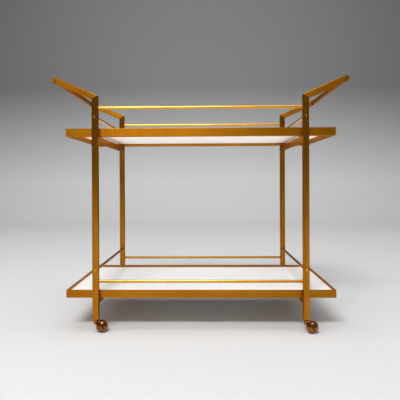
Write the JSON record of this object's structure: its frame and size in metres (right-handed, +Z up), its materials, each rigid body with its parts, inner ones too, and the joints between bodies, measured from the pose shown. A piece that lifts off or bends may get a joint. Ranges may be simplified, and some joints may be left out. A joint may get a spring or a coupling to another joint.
{
  "type": "bar serving cart",
  "caption": "Two-tier serving cart with a square-tube frame, rimmed white shelves, round guard rods, raised push handles and ball casters.",
  "frame": {"origin": "on the floor under the middle of the cart", "axes": "+X along the trays towards the right handle, +Y from the front to the rear, +Z up"},
  "size_m": [0.988, 0.5305, 0.8513],
  "materials": {
    "frame_gold": "satin antique gold lacquer over steel tube",
    "rod_brass": "polished brass plate",
    "panel_white": "satin white lacquer on board",
    "caster_copper": "glossy antique copper plate over die-cast metal",
    "axle_steel": "bright steel",
    "socket_nylon": "dark nylon"
  },
  "bodies": {
    "root": {"post_front_left": "frame_gold", "handle_arm_front_left": "frame_gold", "post_front_right": "frame_gold", "handle_arm_front_right": "frame_gold", "post_rear_left": "frame_gold", "handle_arm_rear_left": "frame_gold", "post_rear_right": "frame_gold", "handle_arm_rear_right": "frame_gold", "handle_grip_left": "frame_gold", "screw_grip_front_left": "rod_brass", "screw_grip_rear_left": "rod_brass", "guard_rod_lower_left": "rod_brass", "cross_bar_lower_left": "frame_gold", "screw_lower_front_left": "rod_brass", "screw_lower_rear_left": "rod_brass", "guard_rod_upper_left": "rod_brass", "cross_bar_upper_left": "frame_gold", "screw_upper_front_left": "rod_brass", "screw_upper_rear_left": "rod_brass", "handle_grip_right": "frame_gold", "screw_grip_front_right": "rod_brass", "screw_grip_rear_right": "rod_brass", "guard_rod_lower_right": "rod_brass", "cross_bar_lower_right": "frame_gold", "screw_lower_front_right": "rod_brass", "screw_lower_rear_right": "rod_brass", "guard_rod_upper_right": "rod_brass", "cross_bar_upper_right": "frame_gold", "screw_upper_front_right": "rod_brass", "screw_upper_rear_right": "rod_brass", "guard_rod_lower_front": "rod_brass", "guard_rod_upper_front": "rod_brass", "guard_rod_lower_rear": "rod_brass", "guard_rod_upper_rear": "rod_brass", "tray_rail_lower_front": "frame_gold", "tray_rail_lower_rear": "frame_gold", "tray_rail_lower_left": "frame_gold", "tray_rail_lower_right": "frame_gold", "tray_panel_lower": "panel_white", "tray_rail_upper_front": "frame_gold", "tray_rail_upper_rear": "frame_gold", "tray_rail_upper_left": "frame_gold", "tray_rail_upper_right": "frame_gold", "tray_panel_upper": "panel_white", "caster_socket_front_left": "socket_nylon", "caster_socket_front_right": "socket_nylon", "caster_socket_rear_left": "socket_nylon", "caster_socket_rear_right": "socket_nylon"},
    "swivel_front_left": {"caster_hood_front_left": "caster_copper", "caster_axle_front_left": "axle_steel"},
    "wheel_front_left": {"caster_wheel_front_left": "caster_copper"},
    "swivel_front_right": {"caster_hood_front_right": "caster_copper", "caster_axle_front_right": "axle_steel"},
    "wheel_front_right": {"caster_wheel_front_right": "caster_copper"},
    "swivel_rear_left": {"caster_hood_rear_left": "caster_copper", "caster_axle_rear_left": "axle_steel"},
    "wheel_rear_left": {"caster_wheel_rear_left": "caster_copper"},
    "swivel_rear_right": {"caster_hood_rear_right": "caster_copper", "caster_axle_rear_right": "axle_steel"},
    "wheel_rear_right": {"caster_wheel_rear_right": "caster_copper"}
  },
  "joints": [
    {"name": "swivel_front_left", "type": "hinge", "parent": "root", "child": "swivel_front_left", "pos_m": [-0.351, -0.236, 0.042], "axis": [0, 0, 1], "continuous": true},
    {"name": "wheel_spin_front_left", "type": "hinge", "parent": "swivel_front_left", "child": "wheel_front_left", "pos_m": [-0.33111, -0.23809, 0.02], "axis": [-0.8066, -0.3591, -0.4695], "continuous": true},
    {"name": "swivel_front_right", "type": "hinge", "parent": "root", "child": "swivel_front_right", "pos_m": [0.351, -0.236, 0.042], "axis": [0, 0, 1], "continuous": true},
    {"name": "wheel_spin_front_right", "type": "hinge", "parent": "swivel_front_right", "child": "wheel_front_right", "pos_m": [0.36866, -0.24539, 0.02], "axis": [-0.8824, -0.0308, -0.4695], "continuous": true},
    {"name": "swivel_rear_left", "type": "hinge", "parent": "root", "child": "swivel_rear_left", "pos_m": [-0.351, 0.236, 0.042], "axis": [0, 0, 1], "continuous": true},
    {"name": "wheel_spin_rear_left", "type": "hinge", "parent": "swivel_rear_left", "child": "wheel_rear_left", "pos_m": [-0.33334, 0.24539, 0.02], "axis": [-0.4679, -0.7488, -0.4695], "continuous": true},
    {"name": "swivel_rear_right", "type": "hinge", "parent": "root", "child": "swivel_rear_right", "pos_m": [0.351, 0.236, 0.042], "axis": [0, 0, 1], "continuous": true},
    {"name": "wheel_spin_rear_right", "type": "hinge", "parent": "swivel_rear_right", "child": "wheel_rear_right", "pos_m": [0.36247, 0.21962, 0.02], "axis": [-0.8002, 0.3731, -0.4695], "continuous": true}
  ]
}
